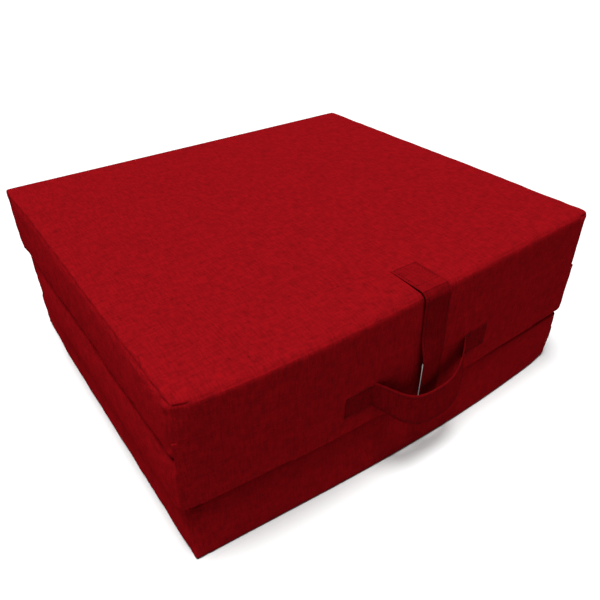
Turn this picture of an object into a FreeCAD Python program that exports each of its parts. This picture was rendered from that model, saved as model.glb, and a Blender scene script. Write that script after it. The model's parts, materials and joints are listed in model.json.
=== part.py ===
import FreeCAD, Part
import os

import Sketcher

# Tri-fold guest mattress with a fold-over closing strap and a carrying handle, folded into a block.
# Frame: X across the width, -Y towards the handle side, +Z up, origin at the centre of the lower
# panel's underside. Units are millimetres.

document = FreeCAD.newDocument("FoldingMattress")
sheet = document.addObject("Spreadsheet::Sheet", "Sizes")

SIZES = (
    # (alias, value, what it is)
    ("PanelWidth", 700, "across the mattress, left to right"),
    ("PanelLength", 626, "one panel, front to back"),
    ("PanelThickness", 90, "one panel over its cover"),
    ("PanelGap", 2, "between two folded panels"),
    ("CoverThickness", 1.5, "lined upholstery cloth"),
    ("FoamCorner", 10, "rounding of the foam's upright edges"),
    ("HingeReach", 6, "fold line in front of the panels' faces"),
    ("HingeClothThickness", 1.2, "each half of a hinge cloth"),
    ("HingeClothInset", 20, "from the panel's side to the end of a hinge cloth"),
    ("HingeRunningGap", 0.3, "hinge cloth to fold line"),
    ("ZipTapeWidth", 26, "cloth tape of a zip"),
    ("ZipChainLength", 560, "coil of the closed zip"),
    ("ZipChainWidth", 6, "coil, across the tape"),
    ("ZipChainHeight", 2, "coil, out of the tape"),
    ("ZipStopLength", 4, "end stop of the coil"),
    ("SliderLength", 14, "zip slider, along the zip"),
    ("SliderWidth", 12, "zip slider, across the zip"),
    ("SliderHeight", 5, "zip slider, out of the tape"),
    ("SliderClearance", 0.3, "slider to coil and tape"),
    ("EarThickness", 1, "each ear that holds the pull's bar"),
    ("EarHeight", 3.6, "ears above the slider"),
    ("EarLength", 3, "ears, along the zip"),
    ("BarRadius", 0.7, "bar through the pull's eye"),
    ("BarHeight", 2.2, "bar's axis above the slider"),
    ("EyeRadius", 1.8, "outside of the pull's eye"),
    ("EyeWidth", 5, "pull's eye, between the ears"),
    ("PullLength", 28, "pull, from its bar"),
    ("PullWidth", 8, "pull's grip"),
    ("PullThickness", 1.4, "pull's plate"),
    ("HandleOffset", 5, "handle's middle, right of the panel's middle"),
    ("HandleHalfSpan", 87, "handle's middle to a sewn end"),
    ("HandleEndLength", 45, "each sewn end"),
    ("HandleWidth", 36, "handle band, across"),
    ("HandleThickness", 3, "handle band, doubled and stitched"),
    ("HandleDrop", 12, "top of the middle panel to the top of the sewn ends"),
    ("HandleRunningGap", 0.3, "loop to each sewn end"),
    ("LoopReach", 39, "how far the loop stands out"),
    ("LoopDroop", 49, "how far the loop hangs down"),
    ("StrapOffset", 17, "strap's middle, right of the panel's middle"),
    ("StrapWidth", 45, "closing strap, across"),
    ("StrapThickness", 1.6, "closing strap, doubled cloth"),
    ("StrapSewnLength", 46, "patch sewn to the upper panel"),
    ("StrapSetback", 15, "panel's front to the patch"),
    ("StrapStandOff", 0.3, "front fold line to the back of the hanging strap"),
    ("StrapEndHeight", 57, "floor to the strap's lower end"),
    ("StrapPivotGap", 0.3, "strap's faces to its fold lines"),
    ("FastenerLength", 113, "hook and loop fastener, up the strap"),
    ("FastenerInset", 0.5, "fastener to the strap's edges"),
    ("FastenerThickness", 2, "each half of the fastener"),
    ("FastenerGap", 0.3, "between the two halves"),
    ("LoopPadRise", 1, "strap's lower end to the lower edge of the loop pad"),
    ("LoopPadMargin", 3, "top of the lower panel to the top of the loop pad"),
    ("BackingThickness", 2, "reinforcing patch under the loop pad"),
    ("BackingBorder", 6, "reinforcing patch around the loop pad"),
    ("CutMargin", 1, "how far a cutting tool passes the face that it cuts"),
)
LOOP_STATIONS = 11  # sections along the handle's loop

for row, (alias, value, meaning) in enumerate(SIZES, start=1):
    sheet.set("A%d" % row, alias)
    sheet.set("B%d" % row, str(value))
    sheet.set("C%d" % row, meaning)
    sheet.setAlias("B%d" % row, alias)
document.recompute()

nodes = []


def bound(text):
    """An expression with each size's alias led by the sheet's name."""
    for alias in sorted((row[0] for row in SIZES), key=len, reverse=True):
        text = text.replace("{%s}" % alias, "Sizes." + alias)
    return text


def keep(part, label):
    part.Label = label
    nodes.append(part)
    return part


def block(name, x, y, z):
    """A box between the two limits given along each axis."""
    box = document.addObject("Part::Box", name)
    for axis, side, (low, high) in zip("xyz", ("Length", "Width", "Height"), (x, y, z)):
        box.setExpression("Placement.Base." + axis, bound(low))
        box.setExpression(side, bound("(%s) - (%s)" % (high, low)))
    return box


def upright_cylinder(name, radius, x, y, z):
    """A cylinder along Z between the two heights of z."""
    cylinder = document.addObject("Part::Cylinder", name)
    cylinder.setExpression("Radius", bound(radius))
    cylinder.setExpression("Placement.Base.x", bound(x))
    cylinder.setExpression("Placement.Base.y", bound(y))
    cylinder.setExpression("Placement.Base.z", bound(z[0]))
    cylinder.setExpression("Height", bound("(%s) - (%s)" % (z[1], z[0])))
    return cylinder


def fuse(name, pieces):
    joined = document.addObject("Part::MultiFuse", name)
    joined.Shapes = pieces
    return joined


def cut(name, base, tool):
    result = document.addObject("Part::Cut", name)
    result.Base = base
    result.Tool = tool
    return result


def origin_plane(body, role):
    return next(f for f in body.Origin.OriginFeatures if f.Role == role)


def rectangle_sketch(body, name, role, offset, left, right, low, high):
    """A rectangle on an origin plane of the body, moved along the plane's normal by offset."""
    sketch = body.newObject("Sketcher::SketchObject", name)
    sketch.AttachmentSupport = [(origin_plane(body, role), "")]
    sketch.MapMode = "FlatFace"
    sketch.setExpression("AttachmentOffset.Base.z", bound(offset))
    corners = [FreeCAD.Vector(u, v, 0) for u, v in ((0, 0), (10, 0), (10, 5), (0, 5))]
    for number in range(4):
        sketch.addGeometry(Part.LineSegment(corners[number], corners[(number + 1) % 4]))
    for number in range(4):
        sketch.addConstraint(Sketcher.Constraint("Coincident", number, 2, (number + 1) % 4, 1))
    for number, kind in enumerate(("Horizontal", "Vertical", "Horizontal", "Vertical")):
        sketch.addConstraint(Sketcher.Constraint(kind, number))
    limits = (
        ("left", "DistanceX", 0, 1, 0.0, left),
        ("low", "DistanceY", 0, 1, 0.0, low),
        ("right", "DistanceX", 2, 1, 10.0, right),
        ("high", "DistanceY", 2, 1, 5.0, high),
    )
    for label, kind, line, end, start, expression in limits:
        index = sketch.addConstraint(Sketcher.Constraint(kind, -1, 1, line, end, start))
        sketch.renameConstraint(index, label)
        sketch.setExpression("Constraints." + label, bound(expression))
    return sketch


LEFT = "-{PanelWidth} / 2"
RIGHT = "{PanelWidth} / 2"
FRONT = "-{PanelLength} / 2"
BACK = "{PanelLength} / 2"
COVER = "{CoverThickness}"
HALF_TAPE = "{ZipTapeWidth} / 2"


def floor_of(level):
    """Height of the underside of the panel at this level of the stack, 0 at the bottom."""
    return "%d * ({PanelThickness} + {PanelGap})" % level


def foam_core(panel, level):
    """The foam block, which fills its cover, with rounded upright edges."""
    body = document.addObject("PartDesign::Body", panel + "FoamBody")
    outline = rectangle_sketch(
        body, panel + "FoamOutline", "XY_Plane", "%s + %s" % (floor_of(level), COVER),
        "%s + %s" % (LEFT, COVER), "%s - %s" % (RIGHT, COVER),
        "%s + %s" % (FRONT, COVER), "%s - %s" % (BACK, COVER))
    pad = body.newObject("PartDesign::Pad", panel + "FoamPad")
    pad.Profile = outline
    pad.setExpression("Length", bound("{PanelThickness} - 2 * %s" % COVER))
    document.recompute()
    uprights = []
    for number, edge in enumerate(pad.Shape.Edges, start=1):
        ends = edge.Vertexes
        if abs(ends[0].Z - ends[-1].Z) > 1:
            uprights.append("Edge%d" % number)
    rounding = body.newObject("PartDesign::Fillet", panel + "FoamRounding")
    rounding.Base = (pad, uprights)
    rounding.setExpression("Radius", bound("{FoamCorner}"))
    keep(body, panel + "_foam_core")


def sleeping_cover(panel, level):
    """Top sheet, bottom sheet and the four side bands, the right one in two strips beside the zip."""
    low = floor_of(level)
    high = "%s + {PanelThickness}" % low
    middle = "%s + {PanelThickness} / 2" % low
    inner = ("%s + %s" % (low, COVER), "%s - %s" % (high, COVER))
    sides = (LEFT, RIGHT)
    ends = (FRONT, BACK)
    between = ("%s + %s" % (LEFT, COVER), "%s - %s" % (RIGHT, COVER))
    right_skin = ("%s - %s" % (RIGHT, COVER), RIGHT)
    pieces = {
        "bottom_sheet": (sides, ends, (low, inner[0])),
        "top_sheet": (sides, ends, (inner[1], high)),
        "front_band": (between, (FRONT, "%s + %s" % (FRONT, COVER)), inner),
        "back_band": (between, ("%s - %s" % (BACK, COVER), BACK), inner),
        "left_band": ((LEFT, "%s + %s" % (LEFT, COVER)), ends, inner),
        "right_band_above_zip": (right_skin, ends, ("%s + %s" % (middle, HALF_TAPE), inner[1])),
        "right_band_below_zip": (right_skin, ends, (inner[0], "%s - %s" % (middle, HALF_TAPE))),
        "zip_tape": (right_skin, ends, ("%s - %s" % (middle, HALF_TAPE), "%s + %s" % (middle, HALF_TAPE))),
    }
    for piece, limits in pieces.items():
        keep(block(panel + "_" + piece, *limits), panel + "_" + piece)


def zip_fastener(panel, level):
    """Coil, end stops, slider and pull of the zip along the panel's right side."""
    middle = "%s + {PanelThickness} / 2" % floor_of(level)
    chain_end = "{ZipChainLength} / 2"
    half_chain = "{ZipChainWidth} / 2"
    coil_face = "%s + {ZipChainHeight}" % RIGHT
    across = ("%s - %s" % (middle, half_chain), "%s + %s" % (middle, half_chain))
    keep(block(panel + "ZipCoil", (RIGHT, coil_face), ("-" + chain_end, chain_end), across),
         panel + "_zip_coil")

    stops = []
    for name, near, far in (
            ("Front", "-%s - {ZipStopLength}" % chain_end, "-" + chain_end),
            ("Back", chain_end, "%s + {ZipStopLength}" % chain_end)):
        stops.append(block(panel + "ZipStop" + name, (RIGHT, coil_face), (near, far), across))
    pair = document.addObject("Part::Compound", panel + "ZipStops")
    pair.Links = stops
    keep(pair, panel + "_zip_stops")

    slider_middle = "-%s + {SliderLength} / 2" % chain_end
    face = "%s + {SliderClearance} + {SliderHeight}" % RIGHT
    run = ("%s - {SliderLength} / 2" % slider_middle, "%s + {SliderLength} / 2" % slider_middle)
    shell = block(panel + "SliderShell", ("%s + {SliderClearance}" % RIGHT, face), run,
                  ("%s - {SliderWidth} / 2" % middle, "%s + {SliderWidth} / 2" % middle))
    channel = block(panel + "SliderChannel", (RIGHT, "%s + {SliderClearance}" % coil_face),
                    ("%s - {CutMargin}" % run[0], "%s + {CutMargin}" % run[1]),
                    ("%s - %s - {SliderClearance}" % (middle, half_chain),
                     "%s + %s + {SliderClearance}" % (middle, half_chain)))
    slider = cut(panel + "SliderBody", shell, channel)
    ear_inside = "({EyeWidth} / 2 + {SliderClearance})"
    ears = []
    for name, near, far in (
            ("Low", "%s - %s - {EarThickness}" % (middle, ear_inside), "%s - %s" % (middle, ear_inside)),
            ("High", "%s + %s" % (middle, ear_inside), "%s + %s + {EarThickness}" % (middle, ear_inside))):
        ears.append(block(panel + "SliderEar" + name, (face, "%s + {EarHeight}" % face),
                          ("%s - {EarLength} / 2" % slider_middle, "%s + {EarLength} / 2" % slider_middle),
                          (near, far)))
    bar_out = "%s + {BarHeight}" % face
    bar = upright_cylinder(panel + "SliderBar", "{BarRadius}", bar_out, slider_middle,
                           ("%s - %s - {EarThickness} / 2" % (middle, ear_inside),
                            "%s + %s + {EarThickness} / 2" % (middle, ear_inside)))
    keep(fuse(panel + "Slider", [slider, bar] + ears), panel + "_zip_slider")

    eye_span = ("%s - {EyeWidth} / 2" % middle, "%s + {EyeWidth} / 2" % middle)
    eye = upright_cylinder(panel + "PullEye", "{EyeRadius}", bar_out, slider_middle, eye_span)
    plate_out = ("%s - {PullThickness} / 2" % bar_out, "%s + {PullThickness} / 2" % bar_out)
    neck = block(panel + "PullNeck", plate_out,
                 (slider_middle, "%s + {PullLength} / 2" % slider_middle), eye_span)
    grip = block(panel + "PullGrip", plate_out,
                 ("%s + {EarLength}" % slider_middle, "%s + {PullLength}" % slider_middle),
                 ("%s - {PullWidth} / 2" % middle, "%s + {PullWidth} / 2" % middle))
    blank = fuse(panel + "PullBlank", [eye, neck, grip])
    hole = upright_cylinder(panel + "PullHole", "{BarRadius} + {SliderClearance}", bar_out, slider_middle,
                            ("%s - {CutMargin}" % eye_span[0], "%s + {CutMargin}" % eye_span[1]))
    keep(cut(panel + "Pull", blank, hole), panel + "_zip_pull")


def hinge_cloths():
    """The two halves of each hinge cloth, which meet at the fold line."""
    across = ("%s + {HingeClothInset}" % LEFT, "%s - {HingeClothInset}" % RIGHT)
    front = ("%s - {HingeReach} + {HingeRunningGap}" % FRONT, FRONT)
    back = (BACK, "%s + {HingeReach} - {HingeRunningGap}" % BACK)
    for label, along, level, below in (
            ("lower_back_hinge_cloth", back, 0, True),
            ("middle_back_hinge_cloth", back, 1, False),
            ("middle_front_hinge_cloth", front, 1, True),
            ("upper_front_hinge_cloth", front, 2, False)):
        low = floor_of(level)
        high = "%s + {PanelThickness}" % low
        if below:
            span = ("%s - {HingeClothThickness}" % high, high)
        else:
            span = (low, "%s + {HingeClothThickness}" % low)
        keep(block(label, across, along, span), label)


def carrying_handle():
    """Two sewn ends on the middle panel's front and the loop that hangs between them."""
    top = "%s + {PanelThickness} - {HandleDrop}" % floor_of(1)
    outer = "%s - {HandleThickness}" % FRONT
    inner_end = {"left": "{HandleOffset} - {HandleHalfSpan}", "right": "{HandleOffset} + {HandleHalfSpan}"}
    for side, sign in (("left", "-"), ("right", "+")):
        reach = "%s %s {HandleEndLength}" % (inner_end[side], sign)
        limits = (reach, inner_end[side]) if side == "left" else (inner_end[side], reach)
        label = "handle_%s_sewn_end" % side
        keep(block(label, limits, (outer, FRONT), ("%s - {HandleWidth}" % top, top)), label)

    body = document.addObject("PartDesign::Body", "HandleLoopBody")
    sections = []
    for number in range(LOOP_STATIONS):
        share = number / (LOOP_STATIONS - 1)
        swell = "sin(180 * %.6f)" % share
        station = "{HandleOffset} + (%.6f) * ({HandleHalfSpan} - {HandleRunningGap})" % (2 * share - 1)
        out = "%s - {LoopReach} * %s" % (outer, swell)
        high = "%s - {LoopDroop} * %s" % (top, swell)
        sections.append(rectangle_sketch(
            body, "LoopSection%d" % number, "YZ_Plane", station,
            out, "%s + {HandleThickness}" % out, "%s - {HandleWidth}" % high, high))
    document.recompute()
    loft = body.newObject("PartDesign::AdditiveLoft", "HandleLoopLoft")
    loft.Profile = sections[0]
    loft.Sections = sections[1:]
    loft.Ruled = True
    keep(body, "handle_loop")


def closing_strap():
    """Patch sewn to the upper panel, the run over its front edge, the hanging tail and the fastener."""
    left = "{StrapOffset} - {StrapWidth} / 2"
    right = "{StrapOffset} + {StrapWidth} / 2"
    across = (left, right)
    top = "%s + {PanelThickness}" % floor_of(2)
    patch_front = "%s + {StrapSetback}" % FRONT
    keep(block("StrapPatch", across, (patch_front, "%s + {StrapSewnLength}" % patch_front),
               (top, "%s + {StrapThickness}" % top)), "strap_sewn_patch")

    tail_back = "%s - {HingeReach} - {StrapStandOff}" % FRONT
    run_low = "%s + {StrapPivotGap}" % top
    keep(block("StrapRun", across, ("%s + {StrapPivotGap}" % tail_back, "%s - {StrapPivotGap}" % patch_front),
               (run_low, "%s + {StrapThickness}" % run_low)), "strap_edge_run")
    tail_front = "%s - {StrapThickness}" % tail_back
    keep(block("StrapTail", across, (tail_front, tail_back), ("{StrapEndHeight}", top)), "strap_tail")

    inset = ("%s + {FastenerInset}" % left, "%s - {FastenerInset}" % right)
    rise = ("{StrapEndHeight}", "{StrapEndHeight} + {FastenerLength}")
    hook_back = "%s + {FastenerThickness}" % tail_back
    keep(block("HookStrip", inset, (tail_back, hook_back), rise), "hook_fastener_strip")

    pad_rise = ("{StrapEndHeight} + {LoopPadRise}", "{PanelThickness} - {LoopPadMargin}")
    backing_front = "%s - {BackingThickness}" % FRONT
    keep(block("LoopPad", inset, ("%s + {FastenerGap}" % hook_back, backing_front), pad_rise),
         "loop_fastener_pad")
    keep(block("LoopBacking", ("%s - {BackingBorder}" % inset[0], "%s + {BackingBorder}" % inset[1]),
               (backing_front, FRONT), ("%s - {BackingBorder}" % pad_rise[0], "{PanelThickness}")),
         "loop_backing_patch")


for level_number, panel_name in enumerate(("lower", "middle", "upper")):
    foam_core(panel_name, level_number)
    sleeping_cover(panel_name, level_number)
    zip_fastener(panel_name, level_number)
hinge_cloths()
carrying_handle()
closing_strap()
document.recompute()

for item in document.Objects:
    if "Invalid" in item.State or "Error" in item.State:
        raise RuntimeError("%s could not be built: %s" % (item.Label, item.State))
for part in nodes:
    if part.Shape.isNull() or not part.Shape.isValid():
        raise RuntimeError("%s has no valid shape" % part.Label)

os.makedirs("parts", exist_ok=True)
for part in nodes:
    part.Shape.exportStep(os.path.join("parts", part.Label + ".step"))
print(len(nodes), "nodes written")
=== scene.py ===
"""Folding futon mattress: three padded slabs with fold cloths, a carrying handle, a closing strap and zips.

Metres, X across the mattress, -Y towards the handle side, +Z up.
"""

import json
import math

import bpy
import numpy as np
from mathutils import Matrix, Vector


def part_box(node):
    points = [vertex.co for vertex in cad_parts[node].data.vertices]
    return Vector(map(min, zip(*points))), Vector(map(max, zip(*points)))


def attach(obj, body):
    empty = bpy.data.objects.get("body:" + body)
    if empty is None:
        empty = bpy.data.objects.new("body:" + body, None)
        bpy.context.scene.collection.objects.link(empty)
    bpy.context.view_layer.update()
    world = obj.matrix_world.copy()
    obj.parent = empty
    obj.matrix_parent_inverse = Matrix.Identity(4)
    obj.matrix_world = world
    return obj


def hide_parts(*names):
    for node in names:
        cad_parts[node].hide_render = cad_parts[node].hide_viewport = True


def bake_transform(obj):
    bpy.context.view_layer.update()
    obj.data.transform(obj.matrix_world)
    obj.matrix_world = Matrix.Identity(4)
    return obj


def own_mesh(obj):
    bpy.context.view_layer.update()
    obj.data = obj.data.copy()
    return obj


bl_info = {
    "name": "Folding futon mattress",
    "version": (1, 0, 0),
    "blender": (4, 5, 0),
    "location": "3D View > Sidebar > Mattress",
    "description": "Builds the covers, fold cloths, handle, strap and zips of a folding mattress",
    "category": "Add Mesh",
}

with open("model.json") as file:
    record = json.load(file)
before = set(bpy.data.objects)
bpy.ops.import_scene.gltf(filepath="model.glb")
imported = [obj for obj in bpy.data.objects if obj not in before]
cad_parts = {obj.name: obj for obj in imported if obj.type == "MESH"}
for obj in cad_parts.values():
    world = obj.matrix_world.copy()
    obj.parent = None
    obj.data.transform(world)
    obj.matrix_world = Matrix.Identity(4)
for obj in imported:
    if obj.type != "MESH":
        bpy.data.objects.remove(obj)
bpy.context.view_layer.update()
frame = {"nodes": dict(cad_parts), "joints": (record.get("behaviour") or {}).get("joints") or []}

PANELS = ("lower", "middle", "upper")
STACK_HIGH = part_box("upper_top_sheet")[1]
HALF_WIDTH = STACK_HIGH.x
HALF_LENGTH = STACK_HIGH.y
STACK_HEIGHT = STACK_HIGH.z
JOINT_PLACES = {joint["name"]: joint["pos_m"] for joint in frame["joints"] if "pos_m" in joint}
FOLD_FRONT = JOINT_PLACES["upper_fold"]
FOLD_BACK = JOINT_PLACES["middle_fold"]
HANDLE_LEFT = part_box("handle_left_sewn_end")
HANDLE_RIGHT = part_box("handle_right_sewn_end")
STRAP_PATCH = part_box("strap_sewn_patch")
STRAP_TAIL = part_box("strap_tail")
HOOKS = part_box("hook_fastener_strip")
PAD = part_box("loop_fastener_pad")
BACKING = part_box("loop_backing_patch")


def length_of(default, name, description, low=0.0, high=1.0):
    """A length in metres, as a user would change it."""
    return bpy.props.FloatProperty(
        name=name, description=description, default=default, min=low, max=high, unit="LENGTH", precision=4)


def colour_of(default, name, description):
    """A linear colour."""
    return bpy.props.FloatVectorProperty(
        name=name, description=description, default=default, min=0.0, max=1.0, size=3, subtype="COLOR")


class MattressSizes(bpy.types.PropertyGroup):
    """Sizes of the soft shapes; places come from the frame."""

    edge_radius: length_of(0.0050, "Edge radius", "Rounding along the long edges of a slab")
    inner_radius: length_of(0.0032, "Inner edge radius", "Rounding of the edges where two slabs meet")
    soft_edge: length_of(0.0060, "Soft edge", "How much rounder the top slab's front edge and corners are")
    groove_radius: length_of(0.0150, "Groove radius", "Rounding of the lower slab's top edges at the left")
    corner_radius: length_of(0.0060, "Corner radius", "Rounding of the upright corners of a slab")
    front_setback: length_of(0.011, "Front setback", "How far the front corners stand back from the frame")
    fullness: length_of(0.0007, "Fullness", "How far the free sides and the top stand over the frame's slabs")
    front_lean: length_of(0.0082, "Front lean", "How far the lower slab's front stands back at its top")
    front_bow: length_of(0.0150, "Front bow", "How far the middle of the front stands before its corners")
    top_bow: length_of(0.0175, "Top bow", "The same along the top front edge")
    back_bow: length_of(0.0045, "Back bow", "How far the back stands out between its corners")
    crown: length_of(0.0010, "Crown", "How far the middle of the top stands over its edges")
    top_twist: length_of(0.0034, "Top twist", "How far two opposite corners of the top rise")
    front_wave: length_of(0.0045, "Front wave", "Rise of the lower groove at the middle of the front")
    swell_cap: length_of(0.0050, "Swell cap", "The most that the cover moves as it swells")
    seam_depth: length_of(0.0016, "Seam depth", "How deep the side seams draw in")
    pucker: length_of(0.0011, "Pucker", "Height of the puckers beside a seam")
    band_thickness: length_of(0.0024, "Band thickness", "Doubled cloth of the handle and strap")
    loop_reach: length_of(0.0270, "Loop reach", "How far the handle's loop stands out")
    loop_droop: length_of(0.0505, "Loop droop", "How far the handle's loop hangs down")
    strap_stand: length_of(0.0085, "Strap stand-off", "How far the strap's left edge stands out as it hangs")
    stitch_length: length_of(0.0032, "Stitch length", "One visible stitch")
    stitch_gap: length_of(0.0013, "Stitch gap", "Between two stitches")
    thread_radius: length_of(0.00026, "Thread radius", "Sewing thread")
    tooth_pitch: length_of(0.0022, "Tooth pitch", "From one tooth of a zip's coil to the next")


class MattressColours(bpy.types.PropertyGroup):
    """Linear colours of the finishes."""

    cloth: colour_of((0.192, 0.0029, 0.0047), "Cloth", "Bright threads of the cover")
    cloth_dark: colour_of((0.104, 0.0022, 0.0034), "Cloth, dark", "Dark threads of the cover")
    fleck: colour_of((0.050, 0.0014, 0.0026), "Fleck", "Sparse dark flecks in the cover")
    thread: colour_of((0.038, 0.0008, 0.0014), "Thread", "Sewing thread")
    hook: colour_of((0.78, 0.78, 0.76), "Hook tape", "Hook half of the fastener")
    loop: colour_of((0.17, 0.004, 0.007), "Loop tape", "Loop half of the fastener")
    foam: colour_of((0.82, 0.74, 0.50), "Foam", "Foam cores")
    tape: colour_of((0.16, 0.003, 0.006), "Zip tape", "Woven tape of a zip")
    coil: colour_of((0.20, 0.005, 0.009), "Zip coil", "Nylon coil of a zip")
    metal: colour_of((0.36, 0.35, 0.34), "Zip metal", "Slider and pull")
    floor: colour_of((0.60, 0.60, 0.60), "Floor", "Studio floor")


# ---------------------------------------------------------------- shader maths


class Value:
    """A shader socket that takes part in arithmetic; each operation adds a Math node."""

    def __init__(self, finish, socket):
        self.finish = finish
        self.socket = socket

    def _math(self, operation, first, second=None):
        inputs = {0: first} if second is None else {0: first, 1: second}
        node = self.finish.node("ShaderNodeMath", {"operation": operation}, inputs)
        return Value(self.finish, node.outputs[0])

    def __add__(self, other):
        return self._math("ADD", self, other)

    __radd__ = __add__

    def __mul__(self, other):
        return self._math("MULTIPLY", self, other)

    __rmul__ = __mul__

    def ramp(self, low, high):
        """0 at low, 1 at high, smooth between."""
        node = self.finish.node(
            "ShaderNodeMapRange", {"interpolation_type": "SMOOTHSTEP"},
            {"Value": self, "From Min": low, "From Max": high})
        return Value(self.finish, node.outputs["Result"])


class Finish:
    """One material, built node by node round a Principled shader."""

    def __init__(self, name, **constants):
        self.material = bpy.data.materials.new(name)
        self.material.use_nodes = True
        self.tree = self.material.node_tree
        self.tree.nodes.clear()
        self.shader = self.node("ShaderNodeBsdfPrincipled", inputs=constants)
        output = self.node("ShaderNodeOutputMaterial")
        self.tree.links.new(self.shader.outputs[0], output.inputs["Surface"])
        self.place = self.node("ShaderNodeTexCoord").outputs["Object"]

    def node(self, kind, settings=None, inputs=None):
        """Adds a node of that type, with its settings and the values or links of its sockets."""
        node = self.tree.nodes.new(kind)
        for key, value in (settings or {}).items():
            setattr(node, key, value)
        for key, value in (inputs or {}).items():
            self.feed(node.inputs[key], value)
        return node

    def feed(self, socket, value):
        """Links a value or another socket, or sets a constant."""
        if isinstance(value, Value):
            value = value.socket
        if isinstance(value, bpy.types.NodeSocket):
            self.tree.links.new(value, socket)
        elif isinstance(value, (tuple, list)) and len(value) == 3 and len(socket.default_value) == 4:
            socket.default_value = (*value, 1.0)
        else:
            socket.default_value = value

    def noise(self, scale, detail=2.0, roughness=0.5, stretch=(1, 1, 1)):
        """Noise whose grain is scale to the metre, times the stretch along each axis."""
        mapping = self.node("ShaderNodeMapping", inputs={"Vector": self.place, "Scale": stretch})
        node = self.node("ShaderNodeTexNoise", inputs={
            "Vector": mapping.outputs[0], "Scale": scale, "Detail": detail, "Roughness": roughness})
        return Value(self, node.outputs["Fac"])

    def mix(self, share, first, second):
        """From the first colour to the second as share goes from 0 to 1."""
        node = self.node("ShaderNodeMix", {"data_type": "RGBA"}, {0: share, 6: first, 7: second})
        return node.outputs[2]

    def bump(self, height, distance, strength=1.0):
        node = self.node("ShaderNodeBump", inputs={
            "Height": height, "Distance": distance, "Strength": strength})
        self.feed(self.shader.inputs["Normal"], node.outputs[0])

    def colour(self, value):
        self.feed(self.shader.inputs["Base Color"], value)


def shaded(colour, share):
    """A colour times a share, no brighter than white."""
    return tuple(min(1.0, c * share) for c in colour)


def heathered_cloth(name, shade):
    """Flat-weave cloth of bright and dark threads: streaks along each thread direction, soft clouds and
    sparse flecks."""
    colours = bpy.context.scene.mattress_colours
    finish = Finish(name, Roughness=0.95)
    finish.shader.inputs["Specular IOR Level"].default_value = 0.0
    finish.shader.inputs["Sheen Weight"].default_value = 0.03
    finish.shader.inputs["Sheen Roughness"].default_value = 0.45
    finish.shader.inputs["Sheen Tint"].default_value = (1.0, 0.01, 0.02, 1.0)
    warp = finish.noise(1.0, 2.0, 0.55, (430, 62, 62))
    weft = finish.noise(1.0, 2.0, 0.55, (70, 430, 90))
    rise = finish.noise(1.0, 2.0, 0.55, (90, 110, 430))
    grain = finish.noise(620.0, 1.0, 0.5)
    cloud = finish.noise(24.0, 3.0, 0.6)
    fleck = finish.noise(1.0, 1.0, 0.5, (190, 120, 120))
    tone = warp * 0.34 + weft * 0.24 + rise * 0.18 + grain * 0.18 + cloud * 0.06
    # A shade below 1 darkens both thread colours. That makes a darker copy of this same cloth, used as painted
    # shade.
    threads = finish.mix(tone.ramp(0.32, 0.66), shaded(colours.cloth_dark, shade), shaded(colours.cloth, shade))
    finish.colour(finish.mix(fleck.ramp(0.68, 0.80) * 0.45, threads, tuple(colours.fleck)))
    finish.feed(finish.shader.inputs["Roughness"], 0.88 + grain * 0.12)
    finish.bump(warp * 0.4 + weft * 0.35 + rise * 0.25 + grain * 0.5, 0.0011, 0.75)
    return finish.material


def sewing_thread(name, colour):
    """Twisted thread: fine slanting ribs, nearly matt."""
    finish = Finish(name, Roughness=0.8)
    finish.shader.inputs["Specular IOR Level"].default_value = 0.05
    ribs = finish.noise(1.0, 1.0, 0.5, (1400, 900, 1400))
    finish.colour(finish.mix(ribs, shaded(colour, 0.6), shaded(colour, 1.3)))
    finish.bump(ribs, 0.0003)
    return finish.material


def open_foam(name, colour):
    """Open-cell foam: pale, with fine pores and slow yellowing."""
    finish = Finish(name, Roughness=0.95)
    pores = finish.noise(900.0, 2.0, 0.6)
    age = finish.noise(9.0, 2.0)
    aged = tuple(c * share for c, share in zip(colour, (0.95, 0.88, 0.72)))
    tint = finish.mix(age.ramp(0.35, 0.7), tuple(colour), aged)
    finish.colour(finish.mix(pores.ramp(0.55, 0.75) * 0.4, tint, shaded(colour, 0.5)))
    finish.bump(pores, 0.0008)
    return finish.material


def pile_tape(name, colour, grain, height):
    """Hook or loop tape: a fine pile in rows over a woven ground."""
    finish = Finish(name, Roughness=0.8)
    pile = finish.noise(grain, 2.0, 0.7)
    rows = finish.noise(1.0, 0.0, 0.5, (grain * 0.8, grain * 0.8, 220))
    finish.colour(finish.mix(pile * 0.7 + rows * 0.3, shaded(colour, 0.72), shaded(colour, 1.1)))
    finish.bump(pile + rows * 0.5, height)
    return finish.material


def woven_tape(name, colour):
    """Zip tape: herringbone ribs across the tape."""
    finish = Finish(name, Roughness=0.85)
    ribs = finish.noise(1.0, 0.0, 0.5, (300, 1000, 260))
    slow = finish.noise(60.0, 2.0)
    finish.colour(finish.mix(ribs * 0.7 + slow * 0.3, shaded(colour, 0.55), shaded(colour, 1.35)))
    finish.bump(ribs, 0.0006)
    return finish.material


def nylon(name, colour):
    """Moulded nylon: smooth, a little glossy, with faint mottling."""
    finish = Finish(name, Roughness=0.38)
    mottle = finish.noise(300.0, 2.0)
    finish.colour(finish.mix(mottle, shaded(colour, 0.8), shaded(colour, 1.2)))
    finish.feed(finish.shader.inputs["Roughness"], 0.32 + mottle * 0.15)
    return finish.material


def cast_metal(name, colour):
    """Plated die-cast metal: fine brushing, with duller wear where it is handled."""
    finish = Finish(name, Metallic=1.0, Roughness=0.3)
    brush = finish.noise(1.0, 2.0, 0.6, (500, 90, 500))
    wear = finish.noise(120.0, 2.0)
    finish.colour(finish.mix(wear.ramp(0.45, 0.7), tuple(colour), shaded(colour, 0.62)))
    finish.feed(finish.shader.inputs["Roughness"], 0.22 + brush * 0.2 + wear.ramp(0.45, 0.7) * 0.15)
    finish.bump(brush, 0.0001)
    return finish.material


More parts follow.
